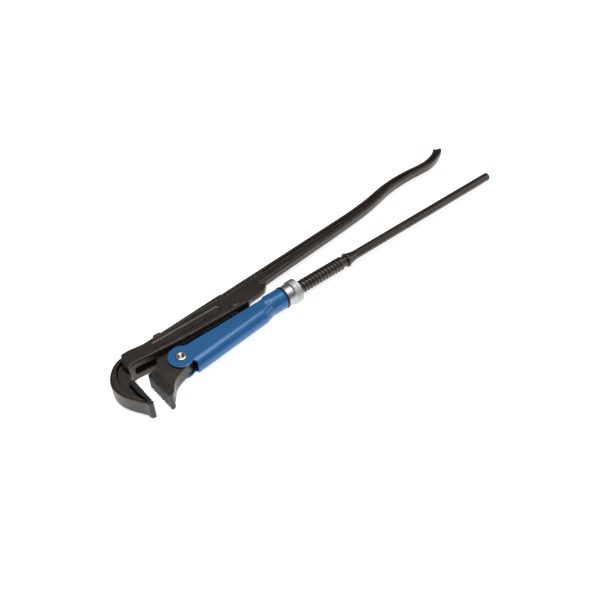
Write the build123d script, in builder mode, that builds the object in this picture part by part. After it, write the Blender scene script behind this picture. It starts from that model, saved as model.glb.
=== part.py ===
"""Corner pipe wrench, Swedish pattern, 2 inch size, adjustable by a knurled nut.

Working coordinates: x runs along the threaded leg, from the jaws (negative) to
the handle ends (positive); y runs from the threaded leg towards the hook leg's
outer side; z is the thickness, 0 on the middle plane. Every sketch is placed on
lvl(z), which moves the working origin to the middle of the tool's bounding box
and its lowest face to z = 0. All sizes in millimetres.
"""
from build123d import *
import os
from math import sin, cos, pi, hypot, sqrt

os.makedirs("parts", exist_ok=True)

# ---------------------------------------------------------------- dimensions
OX, OY = 55.55, 20.00          # middle of the bounding box in working x, y
BOSS_T = 14.0                  # half thickness of the slotted guide
HOOK_T = 12.0                  # half thickness of the hook
HOOK_FLOOR = 5.2               # half thickness of the hook's recessed web
LIP_T = 8.0                    # half thickness of the guide's outer lips
LUG_T = 4.0                    # half thickness of the web and the pivot lug
BEAM_T = 6.1                   # half thickness of the handle's flanges
WEB_T = 2.6                    # half thickness of the handle's web
FLANGE_W = 4.3                 # width of the handle's flanges
SLOT_T = 5.5                   # half width of the guide slot
SLOT_X0, SLOT_X1 = -193.5, -74.0

QX, QY = -60.0, 0.0            # pivot between the two legs
PX, PY = -150.1, -5.3          # jaw rivet
PIN_R = 4.0
CHEEK_T = 7.7                  # half thickness over the fork's cheeks
RIVET_R = 4.6
RIVET_HEAD_R = 5.9

TOOTH_PITCH = 3.05
TOOTH_DEPTH = 1.6

THREAD_R = 8.0                 # trapezoidal thread, major radius
THREAD_CORE_R = 6.5
THREAD_PITCH = 4.7
ROD_R = 5.45
ROD_END_X = 335.6

SHEET = 2.2                    # sleeve sheet thickness
SLEEVE_S = 10.5                # half width of the folded channel, outside
EAR_R = 14.0
NECK_R = 12.4
NECK_BORE_R = 10.5
NECK_X0, NECK_X1 = -33.0, -13.5

JAW_PAD_T = 11.5               # half thickness of the toothed pad
JAW_BODY_T = 8.0
TONGUE_T = 5.0

NUT_R = 13.9
NUT_COLLAR_R = 12.5
NUT_SPIGOT_R = 10.4
NUT_BORE_R = 8.1


def lvl(z):
    """Plane parallel to the tool's middle plane, at height z above it."""
    return Plane(origin=(-OX, -OY, BOSS_T + z))


def across(x, y=0.0):
    """Plane square to the threaded leg at working x; local x = y, local y = z."""
    return Plane(origin=(x - OX, y - OY, BOSS_T), x_dir=(0, 1, 0), z_dir=(1, 0, 0))


def side(y):
    """Plane at working y facing +y; local x = -x (working), local y = z."""
    return Plane(origin=(-OX, y - OY, BOSS_T), x_dir=(-1, 0, 0), z_dir=(0, 1, 0))


AXIS_X = Axis((-OX, -OY, BOSS_T), (1, 0, 0))


def teeth(a, b, pitch, depth, into):
    """Saw-tooth points from a to b; crests on the line, roots 'depth' along into."""
    length = hypot(b[0] - a[0], b[1] - a[1])
    n = int(length / pitch)
    step = length / n
    ux, uy = (b[0] - a[0]) / length, (b[1] - a[1]) / length
    pts = []
    for i in range(n):
        s = i * step
        pts.append((a[0] + ux * s, a[1] + uy * s))
        s += 0.42 * step
        pts.append((a[0] + ux * s + into[0] * depth, a[1] + uy * s + into[1] * depth))
    pts.append(b)
    return pts


# ------------------------------------------------------------- hook leg
HOOK_OUTER = [(-196.0, 31.5), (-201.9, 30.8), (-207.2, 28.8), (-212.4, 25.3), (-216.4, 21.3),
              (-219.8, 17.0), (-222.4, 12.2), (-224.0, 7.6), (-224.5, 3.0), (-224.2, -2.4),
              (-222.9, -7.9), (-220.6, -13.6), (-217.4, -19.4), (-213.8, -24.9),
              (-210.4, -29.8), (-208.2, -33.8)]
HOOK_TIP_MID, HOOK_TIP_END = (-206.6, -37.2), (-203.0, -38.4)
HOOK_TOOTH_A, HOOK_TOOTH_B = (-201.0, -35.4), (-202.3, -3.0)
THROAT = [(-202.3, -3.0), (-203.5, 0.6), (-203.6, 4.2), (-202.2, 8.0), (-199.6, 11.6), (-195.0, 14.6)]

HOOK_POCKET = [(-197.0, 26.4), (-204.4, 25.6), (-208.6, 22.4), (-212.0, 17.2), (-214.7, 10.6),
               (-215.6, 4.0), (-214.9, -4.4), (-213.1, -11.2), (-210.9, -18.0), (-208.3, -25.4),
               (-206.9, -30.2)]
HOOK_POCKET_BACK = [(-205.4, -31.6), (-206.4, -25.6), (-207.7, -17.0), (-208.4, -9.4), (-208.2, -1.6)]

BOSS_LEFT = [(-197.4, 33.2), (-200.2, 27.4), (-202.0, 20.8), (-202.2, 15.4), (-200.6, 11.6)]
BOSS_INNER = [(-200.6, 11.6), (-196.8, 14.0), (-192.0, 14.8), (-186.0, 14.2), (-175.0, 13.2),
              (-164.0, 12.2), (-152.0, 11.3), (-140.0, 10.6), (-128.0, 10.1), (-110.0, 9.8),
              (-85.0, 9.7), (-62.0, 9.6), (-51.0, 9.5)]
BOSS_REAR = [(-51.0, 9.5), (-54.8, 13.2), (-58.6, 18.2), (-62.0, 22.8), (-65.8, 27.0), (-70.4, 30.6),
             (-76.4, 33.2)]
BOSS_OUTER = [(-76.4, 33.2), (-87.0, 34.0), (-103.0, 33.7), (-126.0, 32.9), (-150.0, 32.0),
              (-164.0, 31.2), (-172.0, 31.2), (-180.0, 32.3), (-189.0, 33.6), (-197.4, 33.2)]

LIP = [(-200.6, 28.0), (-200.8, 31.2), (-196.0, 33.6), (-185.0, 35.0), (-165.0, 36.3), (-147.7, 37.6),
       (-136.0, 38.4), (-122.7, 39.3), (-109.2, 40.3), (-95.9, 41.3), (-81.7, 42.3), (-68.5, 43.2),
       (-66.5, 42.0), (-66.5, 24.0), (-76.0, 24.0)]

BEAM_OUTER = [(-80.0, 43.4), (-66.0, 44.5), (-52.5, 45.5), (-37.6, 46.6), (-22.8, 47.6), (-7.5, 48.7),
              (7.7, 49.8), (23.6, 50.9), (39.9, 52.1), (56.0, 53.3), (72.9, 54.5), (89.7, 55.7),
              (106.9, 56.9), (124.5, 58.2), (142.9, 59.9), (161.8, 62.4), (183.3, 66.0),
              (194.6, 68.5), (205.4, 70.6), (225.7, 73.0), (245.0, 73.7), (263.1, 73.0),
              (280.6, 72.1), (291.5, 72.9), (302.5, 75.4), (310.8, 78.6), (315.6, 81.2)]
BEAM_INNER = [(-14.5, 30.0), (-7.9, 30.6), (8.8, 32.4), (24.8, 33.9), (41.6, 35.5), (57.8, 37.0),
              (75.3, 38.6), (92.7, 40.2), (110.6, 42.0), (129.4, 44.0), (147.5, 46.1), (167.8, 49.2),
              (179.5, 51.6), (190.7, 54.2), (213.5, 59.3), (234.8, 61.9), (254.2, 62.7),
              (273.1, 62.3), (290.0, 62.2), (304.5, 64.9), (317.0, 69.4), (325.0, 73.4)]

WEB = [(-84.0, 24.0), (-84.0, 40.0), (-60.0, 42.4), (-8.0, 46.0), (-4.0, 38.0), (-11.5, 33.2),
       (-13.8, 29.8), (-17.4, 24.4), (-22.2, 20.9), (-30.2, 19.6), (-42.2, 18.6), (-48.0, 16.4),
       (-51.6, 11.0), (-52.4, 4.0), (-51.2, 0.0)]

with BuildPart() as hook_blank:
    with BuildSketch(lvl(-HOOK_T)):
        with BuildLine():
            Spline(*HOOK_OUTER)
            ThreePointArc(HOOK_OUTER[-1], HOOK_TIP_MID, HOOK_TIP_END)
            Line(HOOK_TIP_END, HOOK_TOOTH_A)
            Polyline(*teeth(HOOK_TOOTH_A, HOOK_TOOTH_B, TOOTH_PITCH, TOOTH_DEPTH, (-1, 0)))
            Spline(*THROAT)
            Polyline(THROAT[-1], (-190.0, 20.0), (-190.0, 30.0), HOOK_OUTER[0])
        make_face()
    extrude(amount=2 * HOOK_T)
    rim = hook_blank.edges().filter_by(GeomType.BSPLINE).sort_by(Edge.length)[-2:]
    fillet(rim, 2.2)
    for s in (1, -1):
        with BuildSketch(lvl(s * HOOK_FLOOR)):
            with BuildLine():
                Spline(*HOOK_POCKET)
                ThreePointArc(HOOK_POCKET[-1], (-205.9, -31.7), HOOK_POCKET_BACK[0])
                Polyline(*HOOK_POCKET_BACK, (-198.0, -1.0), (-190.0, 8.0), (-190.0, 26.4),
                         HOOK_POCKET[0])
            make_face()
        extrude(amount=s * 10, mode=Mode.SUBTRACT)

with BuildPart() as boss_blank:
    with BuildSketch(lvl(-BOSS_T)):
        with BuildLine():
            Spline(*BOSS_LEFT)
            Polyline(*BOSS_INNER)
            Spline(*BOSS_REAR)
            Polyline(*BOSS_OUTER)
        make_face()
    extrude(amount=2 * BOSS_T)
    faces = boss_blank.faces().filter_by(Axis.Z)
    chamfer(faces.edges(), 1.1)

with BuildPart() as lip_blank:
    with BuildSketch(lvl(-LIP_T)):
        with BuildLine():
            Polyline(*LIP, close=True)
        make_face()
    extrude(amount=2 * LIP_T)
    chamfer(lip_blank.faces().filter_by(Axis.Z).edges(), 0.8)


END_R = 3.4
END_OUT, END_IN = (317.6, 78.6), (323.4, 76.6)


def inset(outer, inner, w):
    """Pocket outline inside a beam whose two edges are given, w in from each."""
    def shift(pts, sgn):
        out = []
        for i, p in enumerate(pts):
            a = pts[max(i - 1, 0)]
            b = pts[min(i + 1, len(pts) - 1)]
            l = hypot(b[0] - a[0], b[1] - a[1])
            out.append((p[0] - sgn * (b[1] - a[1]) / l * w, p[1] + sgn * (b[0] - a[0]) / l * w))
        return out
    return shift(outer, -1), shift(inner, 1)


with BuildPart() as beam_blank:
    with BuildSketch(lvl(-BEAM_T)):
        with BuildLine():
            Spline(*BEAM_OUTER)
            Line(BEAM_OUTER[-1], BEAM_INNER[-1])
            Spline(*BEAM_INNER)
            Polyline(BEAM_INNER[0], (-30.0, 36.0), (-80.0, 32.0), BEAM_OUTER[0])
        make_face()
    extrude(amount=2 * BEAM_T)
    with BuildSketch(lvl(-BEAM_T)):                  # rounded lobes at the free end
        with Locations(END_OUT, END_IN):
            Circle(END_R)
    extrude(amount=2 * BEAM_T)
    long_edges = beam_blank.edges().filter_by(GeomType.BSPLINE).sort_by(Edge.length)[-4:]
    fillet(long_edges, 2.6)
    OUT2, IN2 = inset(BEAM_OUTER, BEAM_INNER, FLANGE_W)
    lobes = beam_blank.edges().filter_by(GeomType.CIRCLE).filter_by(lambda e: e.center().X > 255)
    print("lobe edges", len(lobes))
    for s in (1, -1):
        with BuildSketch(lvl(s * WEB_T)):
            with BuildLine():
                Spline(*OUT2)
                Line(OUT2[-1], (OUT2[-1][0] + 4, OUT2[-1][1] + 6))
                Line((OUT2[-1][0] + 4, OUT2[-1][1] + 6), (IN2[-1][0] + 8, IN2[-1][1] + 6))
                Line((IN2[-1][0] + 8, IN2[-1][1] + 6), IN2[-1])
                Spline(*IN2)
                Polyline(IN2[0], (-32.0, 30.0), (-90.0, 26.0), OUT2[0])
            make_face()
        extrude(amount=s * 10, mode=Mode.SUBTRACT)

with BuildPart() as web_blank:
    with BuildSketch(lvl(-LUG_T)):
        with BuildLine():
            Polyline(*WEB, (-69.0, 0.0), (-69.5, 10.0), (-69.5, 24.0), close=True)
        make_face()
        with Locations((QX, QY)):
            Circle(9.0)
    extrude(amount=2 * LUG_T)

with BuildPart() as hook_leg:
    add(boss_blank.part)
    add(hook_blank.part)
    add(lip_blank.part)
    add(beam_blank.part)
    add(web_blank.part)
    # guide slot, right through from the inner face to the outer face
    with BuildSketch(side(-2.0)):
        with Locations((-(SLOT_X0 + SLOT_X1) / 2, 0)):
            RectangleRounded(SLOT_X1 - SLOT_X0, 2 * SLOT_T, 3.6)
    extrude(amount=60.0, mode=Mode.SUBTRACT)
    # the slot's mouth is eased at its rear end on the inner face
    with BuildSketch(side(6.0)):
        with Locations((74.5, 0)):
            Circle(8.2)
    extrude(amount=5.4, mode=Mode.SUBTRACT)
    # pivot hole
    with BuildSketch(lvl(-20)):
        with Locations((QX, QY)):
            Circle(PIN_R + 0.08)
    extrude(amount=40, mode=Mode.SUBTRACT)
    # shallow panel, stroke and centre pops on both side faces
    for s in (1, -1):
        with BuildSketch(lvl(s * (BOSS_T - 0.6))):
            with Locations((-125.0, 21.2)):
                SlotOverall(86.0, 9.0)
            with Locations(Location((-66.6, 13.4, 0), (0, 0, 1), -6)):
                SlotOverall(8.4, 1.7)
        extrude(amount=s * 2, mode=Mode.SUBTRACT)
        with BuildSketch(lvl(s * (BOSS_T - 0.9))):
            with Locations((-195.9, 20.7), (-193.2, 18.9)):
                Circle(0.7)
        extrude(amount=s * 2, mode=Mode.SUBTRACT)
hook_leg.part.label = "hook_leg"

# ------------------------------------------------------------- threaded leg
THREAD_X0, THREAD_X1 = -42.0, 79.0
with BuildPart() as thread_ridge:
    with BuildLine():
        helix = Helix(pitch=THREAD_PITCH, height=THREAD_X1 - THREAD_X0 - 4.0, radius=THREAD_CORE_R,
                      center=(THREAD_X0 - OX, -OY, BOSS_T), direction=(1, 0, 0))
    start = helix @ 0
    with BuildSketch(Plane(origin=start, x_dir=start - Vector(THREAD_X0 - OX, -OY, BOSS_T), z_dir=helix % 0)):
        with BuildLine():
            Polyline((-0.35, -1.55), (-0.35, 1.55), (0.0, 1.45), (1.5, 0.62), (1.5, -0.62), (0.0, -1.45),
                     (-0.35, -1.55))
        make_face()
    sweep(is_frenet=True)

with BuildPart() as rod_leg:
    with BuildSketch(lvl(0)):
        with BuildLine():
            Polyline((-44.0, 0.0), (-44.0, THREAD_CORE_R), (THREAD_X1, THREAD_CORE_R), (79.6, 6.1), (81.4, 6.1),
                     (81.7, 8.2), (82.2, 8.6), (83.6, 8.6), (84.2, 7.6), (86.4, 7.2), (90.0, 6.5), (96.5, ROD_R),
                     (ROD_END_X - 1.6, ROD_R))
            ThreePointArc((ROD_END_X - 1.6, ROD_R), (ROD_END_X - 0.45, ROD_R - 1.1), (ROD_END_X, ROD_R - 3.0))
            Polyline((ROD_END_X, ROD_R - 3.0), (ROD_END_X, 0.0), (-44.0, 0.0))
        make_face()
    revolve(axis=AXIS_X)
    add(thread_ridge.part)
    # forged fork that straddles the hook leg's lug
    with BuildSketch(lvl(-CHEEK_T)):
        with Locations((QX, QY)):
            Circle(8.2)
        with Locations(((QX - 43.0) / 2, QY)):
            Rectangle(17.0, 16.4)
    extrude(amount=2 * CHEEK_T)
    with BuildSketch(across(-70.0)):
        Circle(9.3)
    extrude(amount=60.0 + ROD_END_X + 20.0, mode=Mode.INTERSECT)
    with BuildSketch(lvl(-LUG_T - 0.2)):
        with Locations(((QX - 15.0 - 49.6) / 2, QY)):
            Rectangle(25.4, 22.0)
    extrude(amount=2 * LUG_T + 0.4, mode=Mode.SUBTRACT)
    with BuildSketch(lvl(-20)):
        with Locations((QX, QY)):
            Circle(PIN_R)
    extrude(amount=40, mode=Mode.SUBTRACT)
rod_leg.part.label = "rod_leg"

with BuildPart() as leg_pivot_pin:
    with BuildSketch(lvl(-CHEEK_T)):
        with Locations((QX, QY)):
            Circle(PIN_R)
    extrude(amount=2 * CHEEK_T)
    chamfer(leg_pivot_pin.edges().filter_by(GeomType.CIRCLE), 0.5)
leg_pivot_pin.part.label = "leg_pivot_pin"


# ------------------------------------------------------------- sleeve
FOLD = [(-142.0, -15.2), (-46.0, -6.2), (-33.0, -1.9)]    # x, y of the fold's centre line


def channel_section(x, c, r, top):
    """U-shaped face square to the leg: half circle round y = c, flanges up to top."""
    with BuildSketch(across(x)) as s:
        with BuildLine():
            Line((top, r), (c, r))
            ThreePointArc((c, r), (c - r, 0), (c, -r))
            Line((c, -r), (top, -r))
            Line((top, -r), (top, r))
        make_face()
    return s.sketch


with BuildPart() as sleeve:
    for (xa, ca), (xb, cb) in zip(FOLD[:-1], FOLD[1:]):
        loft([channel_section(xa, ca, SLEEVE_S, 5.0), channel_section(xb, cb, SLEEVE_S, 5.0)], ruled=True)
    # ears and flange tops, in plan
    with BuildSketch(lvl(-SLEEVE_S)):
        with Locations((PX, PY)):
            Circle(EAR_R)
        with BuildLine():
            Polyline((-142.0, -14.0), (-142.0, 3.2), (-138.4, 3.9), (-132.5, 4.3), (-95.0, 4.3), (-54.0, 5.2),
                     (-36.0, 5.8), (-36.0, -3.0), (-142.0, -14.0))
        make_face()
    extrude(amount=2 * SLEEVE_S)
    with BuildSketch(lvl(-30)):                      # trim above the flange line
        with BuildLine():
            Polyline((-139.4, 4.0), (-132.5, 4.3), (-95.0, 4.3), (-54.0, 5.2), (-30.0, 6.0),
                     (-30.0, 12.0), (-139.4, 12.0), (-139.4, 4.0))
        make_face()
    extrude(amount=60, mode=Mode.SUBTRACT)
    # relief notch between the ears and the fold
    with BuildSketch(lvl(-30)):
        with Locations((-143.4, -20.8)):
            Circle(2.8)
    extrude(amount=60, mode=Mode.SUBTRACT)
    # rear neck
    with BuildSketch(lvl(0)):
        with BuildLine():
            Polyline((-41.0, 0.0), (-41.0, 6.0), (-34.0, NECK_R - 0.4), (-32.4, NECK_R), (NECK_X1 - 0.5, NECK_R),
                     (NECK_X1, NECK_R - 0.5), (NECK_X1, 0.0), (-41.0, 0.0))
        make_face()
    revolve(axis=AXIS_X)
    # hollow
    ri = SLEEVE_S - SHEET
    for (xa, ca), (xb, cb) in (((-143.0, -15.3), (-46.0, -6.2)), ((-46.0, -6.2), (-36.0, -2.8))):
        loft([channel_section(xa, ca, ri, 14.0), channel_section(xb, cb, ri, 14.0)], ruled=True,
             mode=Mode.SUBTRACT)
    with BuildSketch(lvl(-ri)):
        with Locations((-153.0, -2.0)):
            Rectangle(24.0, 44.0)
    extrude(amount=2 * ri, mode=Mode.SUBTRACT)
    with BuildSketch(lvl(0)):
        with BuildLine():
            Polyline((-38.0, 0.0), (-38.0, 9.6), (-36.0, NECK_BORE_R), (-25.2, NECK_BORE_R), (-25.2, 11.15),
                     (-23.9, 11.15), (-23.9, NECK_BORE_R), (NECK_X1 + 1, NECK_BORE_R), (NECK_X1 + 1, 0.0), (-38.0, 0.0))
        make_face()
    revolve(axis=AXIS_X, mode=Mode.SUBTRACT)
    # rivet holes through both ears
    with BuildSketch(lvl(-20)):
        with Locations((PX, PY)):
            Circle(RIVET_R)
    extrude(amount=40, mode=Mode.SUBTRACT)
sleeve.part.label = "sleeve"

with BuildPart() as jaw_rivet:
    z1 = SLEEVE_S
    with BuildSketch(Plane(origin=(PX - OX, PY - OY, BOSS_T), x_dir=(1, 0, 0), z_dir=(0, -1, 0))):
        with BuildLine():
            Polyline((0, z1 - 0.9), (0.5, z1 - 0.8), (3.3, z1 + 0.9), (3.8, z1 + 1.2), (4.8, z1 + 1.2),
                     (5.6, z1 + 0.9), (RIVET_HEAD_R, z1 + 0.4), (RIVET_HEAD_R, z1), (RIVET_R, z1),
                     (RIVET_R, -z1), (RIVET_HEAD_R, -z1), (RIVET_HEAD_R, -z1 - 0.4), (5.6, -z1 - 0.9),
                     (4.8, -z1 - 1.2), (3.8, -z1 - 1.2), (3.3, -z1 - 0.9), (0.5, -z1 + 0.8), (0, -z1 + 0.9),
                     (0, z1 - 0.9))
        make_face()
    revolve(axis=Axis((PX - OX, PY - OY, 0), (0, 0, 1)))
jaw_rivet.part.label = "jaw_rivet"

# ------------------------------------------------------------- adjusting nut
with BuildPart() as adjusting_nut:
    with BuildSketch(lvl(0)):
        with BuildLine():
            Polyline((-27.0, NUT_BORE_R + 0.6), (-26.4, NUT_SPIGOT_R - 0.6), (-25.8, NUT_SPIGOT_R), (-25.4, NUT_SPIGOT_R),
                     (-25.4, 9.4), (-23.7, 9.4), (-23.7, NUT_SPIGOT_R), (-11.5, NUT_SPIGOT_R), (-11.5, NUT_COLLAR_R - 0.4),
                     (-11.1, NUT_COLLAR_R), (-2.6, NUT_COLLAR_R), (-2.0, NUT_R - 0.6), (-1.4, NUT_R), (6.6, NUT_R),
                     (8.0, NUT_R - 1.4), (9.2, 11.2), (9.2, 9.0), (8.3, NUT_BORE_R), (-26.4, NUT_BORE_R),
                     (-27.0, NUT_BORE_R + 0.6))
        make_face()
    revolve(axis=AXIS_X)
adjusting_nut.part.label = "adjusting_nut"

with BuildPart() as thrust_washer:
    with BuildSketch(across(NECK_X1)):
        Circle(13.1)
        Circle(NECK_BORE_R, mode=Mode.SUBTRACT)
    extrude(amount=1.7)
    chamfer(thrust_washer.edges().filter_by(GeomType.CIRCLE).group_by(SortBy.RADIUS)[-1], 0.3)
thrust_washer.part.label = "thrust_washer"

with BuildPart() as nut_retaining_ring:
    with BuildSketch(across(-25.1)):
        Circle(11.15)
        Circle(9.6, mode=Mode.SUBTRACT)
        with Locations((0.0, 10.4)):
            Rectangle(3.0, 3.0, mode=Mode.SUBTRACT)
    extrude(amount=1.1)
nut_retaining_ring.part.label = "nut_retaining_ring"

# ------------------------------------------------------------- movable jaw
JAW_TOOTH_A, JAW_TOOTH_B = (-187.0, -38.6), (-188.9, -5.2)
with BuildPart() as jaw_body:                        # body between the ears
    with BuildSketch(lvl(-JAW_BODY_T)):
        with BuildLine():
            Spline((-181.0, -38.6), (-177.0, -34.6), (-173.4, -29.6), (-168.9, -25.6), (-163.6, -22.9),
                   (-156.8, -20.6), (-147.6, -17.4), (-140.2, -13.2))
            Polyline((-140.2, -13.2), (-135.4, -8.6), (-134.4, -4.0), (-134.4, 4.4), (-137.0, 7.0), (-171.8, 7.0),
                     (-175.6, 1.0), (-178.4, -1.2), (-181.6, -1.8), (-184.0, -3.6), (-184.6, -8.0), (-184.6, -34.0),
                     (-181.0, -38.6))
        make_face()
    extrude(amount=2 * JAW_BODY_T)

with BuildPart() as movable_jaw:
    with BuildSketch(lvl(-JAW_PAD_T)):               # toothed pad
        with BuildLine():
            Polyline(*teeth(JAW_TOOTH_A, JAW_TOOTH_B, TOOTH_PITCH, TOOTH_DEPTH, (1, 0)))
            Polyline(JAW_TOOTH_B, (-186.6, -4.4), (-182.4, -4.4), (-179.4, -8.0), (-178.6, -14.0), (-179.2, -30.0),
                     (-180.0, -37.4), (-181.4, -40.6), (-184.0, -42.0), (-186.2, -41.2), JAW_TOOTH_A)
        make_face()
    extrude(amount=2 * JAW_PAD_T)
    add(jaw_body.part)
    with BuildSketch(lvl(-TONGUE_T)):                # tongue through the guide slot
        with BuildLine():
            Polyline((-176.2, 0.4), (-170.4, 10.2), (-157.6, 39.6), (-155.6, 41.2), (-149.2, 41.2), (-147.6, 39.8),
                     (-144.0, 12.0), (-142.0, 4.0), (-160.0, -4.0), (-176.2, 0.4))
        make_face()
    extrude(amount=2 * TONGUE_T)
    with BuildSketch(lvl(-20)):
        with Locations((PX, PY)):
            Circle(RIVET_R + 0.08)
    extrude(amount=40, mode=Mode.SUBTRACT)
    for s in (1, -1):
        with BuildSketch(lvl(s * (JAW_BODY_T - 0.8))):
            with Locations((-172.9, -5.9), (-169.2, -7.7)):
                Circle(0.8)
        extrude(amount=s * 2, mode=Mode.SUBTRACT)
movable_jaw.part.label = "movable_jaw"

for b in (hook_leg, rod_leg, leg_pivot_pin, sleeve, jaw_rivet, adjusting_nut, thrust_washer,
          nut_retaining_ring, movable_jaw):
    export_step(b.part, f"parts/{b.part.label}.step")

box = Compound(children=[b.part for b in (hook_leg, rod_leg, sleeve, adjusting_nut, movable_jaw, jaw_rivet)]).bounding_box()
print("bounds", [round(v, 3) for v in (*box.min, *box.max)])
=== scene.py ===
"""Looks of the corner pipe wrench: materials, visible detail pieces, floor, light and camera."""
import bpy
import math
from mathutils import Vector, Matrix


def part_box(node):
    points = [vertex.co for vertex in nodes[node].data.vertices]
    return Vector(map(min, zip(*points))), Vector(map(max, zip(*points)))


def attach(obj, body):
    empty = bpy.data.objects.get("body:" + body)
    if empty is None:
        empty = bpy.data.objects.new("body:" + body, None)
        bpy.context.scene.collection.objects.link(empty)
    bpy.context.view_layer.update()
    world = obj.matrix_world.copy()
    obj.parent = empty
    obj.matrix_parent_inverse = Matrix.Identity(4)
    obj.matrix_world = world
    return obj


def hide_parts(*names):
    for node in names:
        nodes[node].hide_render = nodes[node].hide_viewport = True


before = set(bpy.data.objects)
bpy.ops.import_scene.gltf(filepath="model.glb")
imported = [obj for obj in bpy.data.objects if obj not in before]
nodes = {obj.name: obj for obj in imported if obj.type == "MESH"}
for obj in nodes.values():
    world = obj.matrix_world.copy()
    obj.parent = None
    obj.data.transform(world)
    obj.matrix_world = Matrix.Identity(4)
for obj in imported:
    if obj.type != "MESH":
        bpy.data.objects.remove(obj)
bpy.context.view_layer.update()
scene = bpy.context.scene

OX, OY, BASE = 0.05555, 0.02000, 0.014


# ------------------------------------------------------------------ node helpers
def new_mat(name):
    m = bpy.data.materials.new(name)
    m.use_nodes = True
    nt = m.node_tree
    nt.nodes.clear()
    out = nt.nodes.new("ShaderNodeOutputMaterial")
    bsdf = nt.nodes.new("ShaderNodeBsdfPrincipled")
    nt.links.new(bsdf.outputs[0], out.inputs[0])
    return m, nt, bsdf


def coords(nt, scale=(1, 1, 1)):
    tc = nt.nodes.new("ShaderNodeTexCoord")
    mp = nt.nodes.new("ShaderNodeMapping")
    mp.inputs["Scale"].default_value = scale
    nt.links.new(tc.outputs["Object"], mp.inputs["Vector"])
    return mp.outputs["Vector"]


def noise(nt, vec, scale, detail=3.0, rough=0.5, dist=0.0):
    n = nt.nodes.new("ShaderNodeTexNoise")
    n.inputs["Scale"].default_value = scale
    n.inputs["Detail"].default_value = detail
    n.inputs["Roughness"].default_value = rough
    n.inputs["Distortion"].default_value = dist
    nt.links.new(vec, n.inputs["Vector"])
    return n.outputs["Fac"]


def ramp(nt, fac, stops):
    r = nt.nodes.new("ShaderNodeValToRGB")
    el = r.color_ramp.elements
    while len(el) < len(stops):
        el.new(0.5)
    for e, (p, c) in zip(el, stops):
        e.position = p
        e.color = (*c, 1.0) if len(c) == 3 else c
    nt.links.new(fac, r.inputs["Fac"])
    return r.outputs["Color"]


def maprange(nt, fac, a, b, c, d):
    r = nt.nodes.new("ShaderNodeMapRange")
    r.inputs["From Min"].default_value = a
    r.inputs["From Max"].default_value = b
    r.inputs["To Min"].default_value = c
    r.inputs["To Max"].default_value = d
    nt.links.new(fac, r.inputs["Value"])
    return r.outputs["Result"]


def mix(nt, fac, a, b, mode="MIX"):
    m = nt.nodes.new("ShaderNodeMix")
    m.data_type = "RGBA"
    m.blend_type = mode
    for key, val in ((0, fac), (6, a), (7, b)):
        if isinstance(val, bpy.types.NodeSocket):
            nt.links.new(val, m.inputs[key])
        elif key == 0:
            m.inputs[0].default_value = val
        else:
            m.inputs[key].default_value = (*val, 1.0)
    return m.outputs[2]


def math_node(nt, op, a, b=None, c=None, clamp=False):
    m = nt.nodes.new("ShaderNodeMath")
    m.operation = op
    m.use_clamp = clamp
    for i, v in enumerate((a, b, c)):
        if v is None:
            continue
        if isinstance(v, bpy.types.NodeSocket):
            nt.links.new(v, m.inputs[i])
        else:
            m.inputs[i].default_value = v
    return m.outputs[0]


def bump(nt, bsdf, height, strength, distance, prev=None):
    b = nt.nodes.new("ShaderNodeBump")
    b.inputs["Strength"].default_value = strength
    b.inputs["Distance"].default_value = distance
    nt.links.new(height, b.inputs["Height"])
    if prev is not None:
        nt.links.new(prev, b.inputs["Normal"])
    nt.links.new(b.outputs["Normal"], bsdf.inputs["Normal"])
    return b.outputs["Normal"]


def edge_wear(nt, lo=0.52, hi=0.62):
    g = nt.nodes.new("ShaderNodeNewGeometry")
    return maprange(nt, g.outputs["Pointiness"], lo, hi, 0.0, 1.0)


# ------------------------------------------------------------------ materials
def seg_mask(nt, a, b, r0, r1):
    """1 within r0 of the segment a-b in plan (row metres), falling to 0 at r1."""
    tc = nt.nodes.new("ShaderNodeTexCoord")
    ax, ay = a[0] / 1000 - OX, a[1] / 1000 - OY
    bx, by = b[0] / 1000 - OX, b[1] / 1000 - OY
    dx, dy = bx - ax, by - ay

    def vm(op, x, y=None, scale=None):
        n = nt.nodes.new("ShaderNodeVectorMath")
        n.operation = op
        for i, v in enumerate((x, y)):
            if v is None:
                continue
            if isinstance(v, bpy.types.NodeSocket):
                nt.links.new(v, n.inputs[i])
            else:
                n.inputs[i].default_value = v
        if scale is not None:
            if isinstance(scale, bpy.types.NodeSocket):
                nt.links.new(scale, n.inputs["Scale"])
            else:
                n.inputs["Scale"].default_value = scale
        return n

    flat = vm("MULTIPLY", tc.outputs["Object"], (1.0, 1.0, 0.0)).outputs["Vector"]
    pa = vm("SUBTRACT", flat, (ax, ay, 0.0)).outputs["Vector"]
    h = math_node(nt, "DIVIDE", vm("DOT_PRODUCT", pa, (dx, dy, 0.0)).outputs["Value"], dx * dx + dy * dy)
    h = math_node(nt, "MINIMUM", math_node(nt, "MAXIMUM", h, 0.0), 1.0)
    on = vm("SCALE", (dx, dy, 0.0), scale=h).outputs["Vector"]
    d = vm("LENGTH", vm("SUBTRACT", pa, on).outputs["Vector"]).outputs["Value"]
    return maprange(nt, d, r0, r1, 1.0, 0.0)


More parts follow.
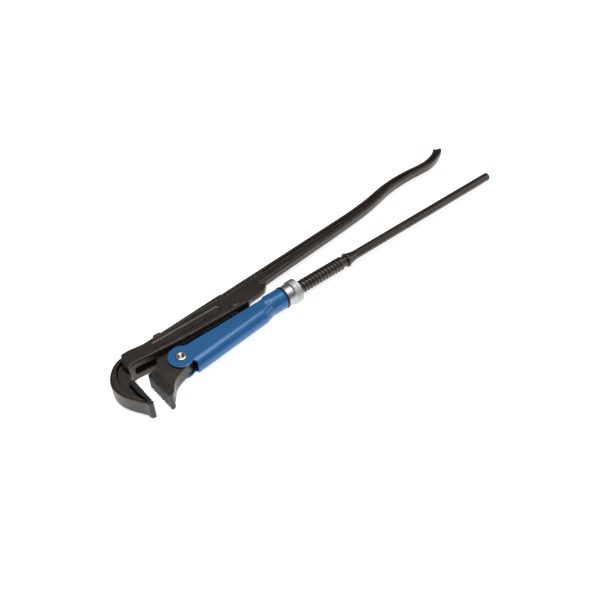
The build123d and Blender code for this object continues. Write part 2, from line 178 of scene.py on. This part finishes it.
def forged_steel():
    m, nt, b = new_mat("forged_steel_oiled")
    v = coords(nt)
    big = noise(nt, v, 38.0, 4.0, 0.55)
    mid = noise(nt, v, 260.0, 3.0, 0.55)
    fine = noise(nt, v, 900.0, 3.0, 0.6)
    grit = noise(nt, v, 2600.0, 2.0, 0.5)
    base = ramp(nt, big, [(0.30, (0.050, 0.040, 0.034)), (0.70, (0.072, 0.058, 0.050))])
    tint = mix(nt, maprange(nt, mid, 0.40, 0.72, 0.0, 0.45), base, (0.095, 0.078, 0.068))
    # hardened, ground ends of the jaws: darker and streaked along the teeth
    hard = math_node(nt, "MAXIMUM", seg_mask(nt, (-201.6, -37.0), (-203.0, -3.0), 0.0058, 0.0072),
                     seg_mask(nt, (-186.0, -40.0), (-187.6, -8.0), 0.0076, 0.0092))
    vs = coords(nt, (1.0, 0.07, 1.0))
    streak = noise(nt, vs, 1500.0, 3.0, 0.6)
    ground = ramp(nt, streak, [(0.35, (0.026, 0.025, 0.025)), (0.68, (0.062, 0.060, 0.058))])
    tint = mix(nt, math_node(nt, "MULTIPLY", hard, 0.85), tint, ground)
    surface_colour = mix(nt, math_node(nt, "MULTIPLY", edge_wear(nt, 0.525, 0.60), 0.75), tint, (0.20, 0.18, 0.165))
    # painted shade: concave creases and recesses (low pointiness) are mixed toward near-black, standing in for the
    # shade that gathers there
    crease_shade_geom = nt.nodes.new("ShaderNodeNewGeometry")
    surface_colour = mix(nt, maprange(nt, crease_shade_geom.outputs["Pointiness"], 0.475, 0.44, 0.0, 0.6), surface_colour, (0.018, 0.015, 0.013))
    nt.links.new(surface_colour, b.inputs["Base Color"])
    b.inputs["Metallic"].default_value = 0.75
    b.inputs["Specular IOR Level"].default_value = 0.5
    nt.links.new(maprange(nt, fine, 0.3, 0.75, 0.27, 0.42), b.inputs["Roughness"])
    h = math_node(nt, "ADD", math_node(nt, "MULTIPLY", fine, 0.6), math_node(nt, "MULTIPLY", grit, 0.4))
    n1 = bump(nt, b, h, 0.30, 0.00011)
    n2 = bump(nt, b, math_node(nt, "MULTIPLY", streak, hard), 0.35, 0.00020, n1)
    lump = noise(nt, v, 90.0, 2.0, 0.5)
    bump(nt, b, lump, 0.30, 0.0007, n2)
    return m


def drawn_steel():
    m, nt, b = new_mat("threaded_leg_steel")
    v = coords(nt, (0.25, 1, 1))
    big = noise(nt, v, 60.0, 3.0, 0.5)
    fine = noise(nt, v, 1400.0, 3.0, 0.6)
    base = ramp(nt, big, [(0.3, (0.060, 0.049, 0.043)), (0.7, (0.090, 0.075, 0.066))])
    surface_colour = mix(nt, math_node(nt, "MULTIPLY", edge_wear(nt, 0.53, 0.66), 0.5), base, (0.24, 0.22, 0.20))
    nt.links.new(surface_colour, b.inputs["Base Color"])
    b.inputs["Metallic"].default_value = 0.8
    nt.links.new(maprange(nt, fine, 0.3, 0.75, 0.26, 0.42), b.inputs["Roughness"])
    bump(nt, b, fine, 0.25, 0.00010)
    return m


def blue_paint():
    m, nt, b = new_mat("sleeve_blue_enamel")
    v = coords(nt)
    big = noise(nt, v, 30.0, 3.0, 0.5)
    orange = noise(nt, v, 420.0, 2.0, 0.5)
    fine = noise(nt, v, 3000.0, 2.0, 0.5)
    base = ramp(nt, big, [(0.3, (0.011, 0.122, 0.325)), (0.7, (0.015, 0.140, 0.365))])
    surface_colour = mix(nt, math_node(nt, "MULTIPLY", edge_wear(nt, 0.60, 0.80), 0.35), base, (0.06, 0.20, 0.45))
    nt.links.new(surface_colour, b.inputs["Base Color"])
    b.inputs["Metallic"].default_value = 0.15
    b.inputs["Coat Weight"].default_value = 0.30
    b.inputs["Coat Roughness"].default_value = 0.16
    nt.links.new(maprange(nt, fine, 0.3, 0.7, 0.30, 0.40), b.inputs["Roughness"])
    n1 = bump(nt, b, orange, 0.10, 0.00020)
    bump(nt, b, fine, 0.06, 0.00004, n1)
    return m


def zinc(name, lo=0.55, hi=0.74, rough=(0.22, 0.36)):
    m, nt, b = new_mat(name)
    v = coords(nt)
    big = noise(nt, v, 160.0, 3.0, 0.55)
    fine = noise(nt, v, 2400.0, 3.0, 0.6)
    base = ramp(nt, big, [(0.3, (lo, lo * 1.01, lo * 1.03)), (0.7, (hi, hi * 1.005, hi * 1.02))])
    nt.links.new(base, b.inputs["Base Color"])
    b.inputs["Metallic"].default_value = 1.0
    nt.links.new(maprange(nt, fine, 0.3, 0.7, rough[0], rough[1]), b.inputs["Roughness"])
    bump(nt, b, fine, 0.15, 0.00005)
    return m


def washer_gap_shade_steel():
    # painted shadow: the thrust washer is coloured near-black so that it reads as the shadowed gap between the
    # sleeve end and the nut collar
    m, nt, b = new_mat("washer_painted_gap_shade")
    v = coords(nt)
    fine = noise(nt, v, 1500.0, 3.0, 0.6)
    nt.links.new(ramp(nt, fine, [(0.3, (0.012, 0.012, 0.013)), (0.7, (0.03, 0.03, 0.03))]), b.inputs["Base Color"])
    b.inputs["Metallic"].default_value = 0.4
    nt.links.new(maprange(nt, fine, 0.3, 0.7, 0.4, 0.55), b.inputs["Roughness"])
    bump(nt, b, fine, 0.2, 0.00005)
    return m


FORGED = forged_steel()
DRAWN = drawn_steel()
BLUE = blue_paint()
ZINC = zinc("zinc_plated_nut", 0.44, 0.55, (0.34, 0.46))
BRIGHT = zinc("turned_bright_steel", 0.50, 0.66, (0.20, 0.32))
# near-black washer colour, painted shadow for the gap at the nut collar
WASHER_GAP_SHADE = washer_gap_shade_steel()


def use(node, mat):
    o = nodes[node]
    o.data.materials.clear()
    o.data.materials.append(mat)


for n, m in (("hook_leg", FORGED), ("movable_jaw", FORGED), ("rod_leg", DRAWN), ("leg_pivot_pin", BRIGHT),
             ("sleeve", BLUE), ("jaw_rivet", BRIGHT), ("adjusting_nut", ZINC), ("thrust_washer", WASHER_GAP_SHADE),
             ("nut_retaining_ring", BRIGHT)):
    use(n, m)

# ------------------------------------------------------------------ smooth forged skins
import bmesh
import numpy as np


def W(x, y, z=0.0):
    """Working millimetres of the design to the row frame in metres."""
    return Vector((x / 1000.0 - OX, y / 1000.0 - OY, z / 1000.0 + BASE))


def skin(node, body, name, mat, voxel, rounds, keep_sharp=None, lamb=0.5, decimate=None, noise_amp=0.0,
         noise_scale=60.0, sharp_rounds=1, fill=None):
    """A remeshed copy of a CAD node with its edges rounded as a forging's are; keep_sharp(co) -> 0..1 holds
    crisp places, such as teeth, back from the rounding."""
    src = nodes[node]
    me = src.data.copy()
    me.name = name
    ob = bpy.data.objects.new(name, me)
    scene.collection.objects.link(ob)
    bm = bmesh.new()
    bm.from_mesh(me)
    bmesh.ops.remove_doubles(bm, verts=bm.verts, dist=1e-6)
    if fill is not None:
        fill(bm)
    bm.to_mesh(me)
    bm.free()
    rm = ob.modifiers.new("remesh", "REMESH")
    rm.mode = "VOXEL"
    rm.voxel_size = voxel
    rm.adaptivity = 0.0
    dg = bpy.context.evaluated_depsgraph_get()
    new = bpy.data.meshes.new_from_object(ob.evaluated_get(dg))
    ob.modifiers.clear()
    ob.data = new
    new.name = name
    n = len(new.vertices)
    co = np.empty(n * 3)
    new.vertices.foreach_get("co", co)
    co = co.reshape(-1, 3)
    ne = len(new.edges)
    ed = np.empty(ne * 2, np.int32)
    new.edges.foreach_get("vertices", ed)
    ed = ed.reshape(-1, 2)
    deg = np.bincount(ed.ravel(), minlength=n).astype(float)
    w = np.ones(n)
    if keep_sharp is not None:
        w = 1.0 - np.clip(keep_sharp(co), 0.0, 1.0)

    def lap(c):
        s = np.zeros_like(c)
        for k in range(3):
            s[:, k] = np.bincount(ed[:, 0], weights=c[ed[:, 1], k], minlength=n) + \
                np.bincount(ed[:, 1], weights=c[ed[:, 0], k], minlength=n)
        return s / deg[:, None] - c

    for i in range(rounds):
        hold = w if i >= sharp_rounds else np.ones(n)
        co = co + lamb * lap(co) * hold[:, None]
        co = co - (lamb + 0.02) * 0.92 * lap(co) * hold[:, None]
    if noise_amp:
        from mathutils import noise as mn
        nrm = np.empty(n * 3)
        new.vertices.foreach_set("co", co.ravel())
        new.update()
        new.vertices.foreach_get("normal", nrm)
        nrm = nrm.reshape(-1, 3)
        a = np.array([mn.noise(Vector(p) * noise_scale * 1.0) for p in co])
        co = co + nrm * (a * noise_amp * w)[:, None]
    new.vertices.foreach_set("co", co.ravel())
    new.update()
    if decimate:
        d = ob.modifiers.new("dec", "DECIMATE")
        d.ratio = decimate
        dg = bpy.context.evaluated_depsgraph_get()
        new2 = bpy.data.meshes.new_from_object(ob.evaluated_get(dg))
        ob.modifiers.clear()
        ob.data = new2
        new2.name = name
    lo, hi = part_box(node)
    cc = np.empty(len(ob.data.vertices) * 3)
    ob.data.vertices.foreach_get("co", cc)
    cc = np.clip(cc.reshape(-1, 3), np.array(lo), np.array(hi))
    ob.data.vertices.foreach_set("co", cc.ravel())
    for p in ob.data.polygons:
        p.use_smooth = True
    ob.data.materials.clear()
    ob.data.materials.append(mat)
    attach(ob, body)
    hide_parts(node)
    return ob


def blunt_end(bm):
    """The handle's free end closes over its grooves in one blunt rounded lobe."""
    a, b, r = Vector((317.4, 78.2)), Vector((322.6, 76.6)), 3.1
    d = (b - a).normalized()
    n = Vector((-d.y, d.x))
    ring = []
    for c, s in ((a, -1), (b, 1)):
        for k in range(13):
            t = math.pi * (k / 12 - 0.5)
            ring.append(c + s * (d * math.cos(t) + n * math.sin(t)) * r)
    lo = [bm.verts.new(W(p.x, p.y, -5.6)) for p in ring]
    hi = [bm.verts.new(W(p.x, p.y, 5.6)) for p in ring]
    m = len(ring)
    new = [bm.faces.new(lo), bm.faces.new(hi)]
    for k in range(m):
        new.append(bm.faces.new((lo[k], lo[(k + 1) % m], hi[(k + 1) % m], hi[k])))
    bmesh.ops.recalc_face_normals(bm, faces=new)


def neck_pads(bm):
    """The flanges swell a little where they run into the round neck, on both faces."""
    for s in (1, -1):
        m = Matrix.Translation(W(-36.0, 1.0, s * 10.3)) @ Matrix.Diagonal((0.0048, 0.0052, 0.0017, 1.0))
        bmesh.ops.create_uvsphere(bm, u_segments=32, v_segments=20, radius=1.0, matrix=m)


def seg_dist(co, a, b, zhalf):
    """Distance in plan from the working segment a-b, in metres."""
    p = co[:, :2]
    a = np.array([a[0] / 1000 - OX, a[1] / 1000 - OY])
    b = np.array([b[0] / 1000 - OX, b[1] / 1000 - OY])
    d = b - a
    t = np.clip(((p - a) @ d) / (d @ d), 0, 1)
    q = a + t[:, None] * d
    return np.linalg.norm(p - q, axis=1)


def hook_sharp(co):
    d = seg_dist(co, (-201.6, -35.4), (-202.9, -3.0), 0)
    x = co[:, 0] * 1000.0 + OX * 1000.0
    away = 0.85 * np.clip((x + 207.0) / 3.0, 0, 1)       # the hook's back is rounded most
    return np.maximum(away, np.clip((0.0046 - d) / 0.0012, 0, 1))


def jaw_sharp(co):
    d = seg_dist(co, (-186.4, -38.6), (-188.2, -5.2), 0)
    return (0.0040 - d) / 0.0012


def neck_blend(co):
    """Only the place where the flanges run into the round neck keeps being smoothed."""
    x = co[:, 0] * 1000.0 + OX * 1000.0
    inside = np.clip((x + 52.0) / 5.0, 0, 1) * np.clip((-25.0 - x) / 4.0, 0, 1)
    return 1.0 - inside


def lathe(name, rows, seg, body, mat, centre):
    """Closed surface of revolution about the x direction; rows are (x, r or function of angle), a ring each."""
    verts, faces = [], []
    for x, r in rows:
        for k in range(seg):
            t = 2 * math.pi * k / seg
            rr = r(t, x) if callable(r) else r
            verts.append((centre.x + x / 1000.0, centre.y + rr * math.cos(t) / 1000.0,
                          centre.z + rr * math.sin(t) / 1000.0))
    m = len(rows)
    for i in range(m):
        j = (i + 1) % m
        for k in range(seg):
            l = (k + 1) % seg
            faces.append((i * seg + k, i * seg + l, j * seg + l, j * seg + k))
    me = bpy.data.meshes.new(name)
    me.from_pydata(verts, [], faces)
    bm = bmesh.new()
    bm.from_mesh(me)
    bmesh.ops.recalc_face_normals(bm, faces=bm.faces)
    bm.to_mesh(me)
    bm.free()
    ob = bpy.data.objects.new(name, me)
    scene.collection.objects.link(ob)
    me.materials.append(mat)
    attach(ob, body)
    return ob


def tri(v):
    v = v - math.floor(v)
    return 1.0 - abs(2.0 * v - 1.0)


def knurl(t, x):
    """Diamond knurl: two crossed families of fine grooves 0.2 mm deep and 0.8 mm apart."""
    n = 110.0
    p = n / 13.9
    a = tri(n * t / (2 * math.pi) + x * p / (2 * math.pi))
    b = tri(n * t / (2 * math.pi) - x * p / (2 * math.pi))
    fade = min(1.0, max(0.0, (x + 1.5) / 0.5)) * min(1.0, max(0.0, (6.9 - x) / 0.5))
    return 13.9 - 0.20 * fade * (1.0 - min(a, b))


def smooth_rows(pts, n=3):
    """Each corner of a profile gets a small rounding."""
    out = []
    m = len(pts)
    for i, (x, r) in enumerate(pts):
        px, pr = pts[i - 1]
        nx, nr = pts[(i + 1) % m]
        la, lb = math.hypot(px - x, pr - r), math.hypot(nx - x, nr - r)
        ra, rb = min(0.18, la * 0.3), min(0.18, lb * 0.3)
        ax, ar = x + (px - x) / la * ra, r + (pr - r) / la * ra
        bx, br = x + (nx - x) / lb * rb, r + (nr - r) / lb * rb
        for k in range(n):
            t = k / (n - 1)
            out.append(((1 - t) ** 2 * ax + 2 * t * (1 - t) * x + t * t * bx,
                        (1 - t) ** 2 * ar + 2 * t * (1 - t) * r + t * t * br))
    return out


NUT_A = [(9.2, 9.2), (8.3, 8.12), (-26.4, 8.12), (-27.0, 8.8), (-26.4, 9.8), (-25.8, 10.38), (-25.4, 10.38),
         (-25.4, 9.4), (-23.7, 9.4), (-23.7, 10.38), (-11.5, 10.38), (-11.5, 12.0), (-11.0, 12.45),
         (-3.2, 12.45), (-2.6, 12.7), (-2.1, 13.3), (-1.6, 13.85)]
rows = [(x, r) for x, r in smooth_rows(NUT_A)]
x = -1.5
while x <= 6.9:
    rows.append((x, knurl))
    x += 0.14
rows += [(7.0, 13.75), (7.4, 13.4), (8.0, 12.5), (8.5, 11.9), (9.0, 11.3), (9.2, 10.9), (9.2, 9.6)]
nut = lathe("knurled_nut", rows, 792, "adjusting_nut", ZINC, W(0, 0, 0))
for p in nut.data.polygons:
    p.use_smooth = True
nut.data.set_sharp_from_angle(angle=math.radians(40))
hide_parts("adjusting_nut")

hook_skin = skin("hook_leg", "hook_leg", "hook_leg_forging", FORGED, 0.0005, 44, hook_sharp,
                 decimate=0.6, sharp_rounds=1, fill=blunt_end)
jaw_skin = skin("movable_jaw", "movable_jaw", "movable_jaw_forging", FORGED, 0.00040, 9, jaw_sharp,
                sharp_rounds=1)
sleeve_skin = skin("sleeve", "sleeve", "sleeve_pressing", BLUE, 0.00045, 24, neck_blend, sharp_rounds=4,
                   fill=neck_pads)

# ------------------------------------------------------------------ floor, light, camera
bpy.ops.mesh.primitive_plane_add(size=12, location=(0, 0, 0))
floor = bpy.context.active_object
floor.name = "floor"
fm, fnt, fb = new_mat("studio_floor")
fb.inputs["Base Color"].default_value = (0.80, 0.805, 0.81, 1)
fb.inputs["Roughness"].default_value = 0.7
fb.inputs["Specular IOR Level"].default_value = 0.1
fb.inputs["Emission Color"].default_value = (0.99, 0.995, 1.0, 1)
fb.inputs["Emission Strength"].default_value = 0.78
floor.data.materials.append(fm)

world = bpy.data.worlds.new("studio")
scene.world = world
world.use_nodes = True
wn = world.node_tree
wn.nodes.clear()
wo = wn.nodes.new("ShaderNodeOutputWorld")
bg = wn.nodes.new("ShaderNodeBackground")
tc = wn.nodes.new("ShaderNodeTexCoord")
sx = wn.nodes.new("ShaderNodeSeparateXYZ")
wn.links.new(tc.outputs["Generated"], sx.inputs[0])
wr = wn.nodes.new("ShaderNodeValToRGB")
el = wr.color_ramp.elements
el[0].position, el[0].color = 0.0, (0.04, 0.04, 0.045, 1)
el[1].position, el[1].color = 1.0, (0.9, 0.9, 0.9, 1)
for pos, val in ((0.18, 0.05), (0.55, 0.07), (0.80, 0.16), (0.93, 0.55)):
    e = el.new(pos)
    e.color = (val, val * 1.005, val * 1.02, 1)
wn.links.new(sx.outputs["Z"], wr.inputs["Fac"])
wn.links.new(wr.outputs["Color"], bg.inputs["Color"])
bg.inputs["Strength"].default_value = 1.0
wn.links.new(bg.outputs[0], wo.inputs[0])


def area(name, loc, aim, size, power, color=(1, 1, 1)):
    l = bpy.data.lights.new(name, "AREA")
    l.shape = "RECTANGLE"
    l.size, l.size_y = size
    l.energy = power
    l.color = color
    o = bpy.data.objects.new(name, l)
    scene.collection.objects.link(o)
    o.location = loc
    d = Vector(aim) - Vector(loc)
    o.rotation_euler = d.to_track_quat("-Z", "Y").to_euler()
    return o


area("top_soft", (0.05, -0.05, 1.5), (-0.05, 0, 0), (1.1, 1.1), 14)
area("right_soft", (1.25, -0.75, 0.75), (-0.1, 0, 0.02), (0.9, 0.7), 4.0)

cam = bpy.data.cameras.new("cam")
cam.sensor_width = 36.0
cam.lens = 42.42
cam.clip_start = 0.01
co = bpy.data.objects.new("cam", cam)
scene.collection.objects.link(co)
co.location = (-0.3402 - OX, -0.4292 - OY, 0.5829 + BASE)
aim = Vector((0.0 - OX, -0.01498 - OY, BASE))
co.rotation_euler = (aim - Vector(co.location)).to_track_quat("-Z", "Y").to_euler()
scene.camera = co
scene.view_settings.view_transform = "Standard"
scene.view_settings.look = "None"

# ------------------------------------------------------------------ view layer update
bpy.context.view_layer.update()
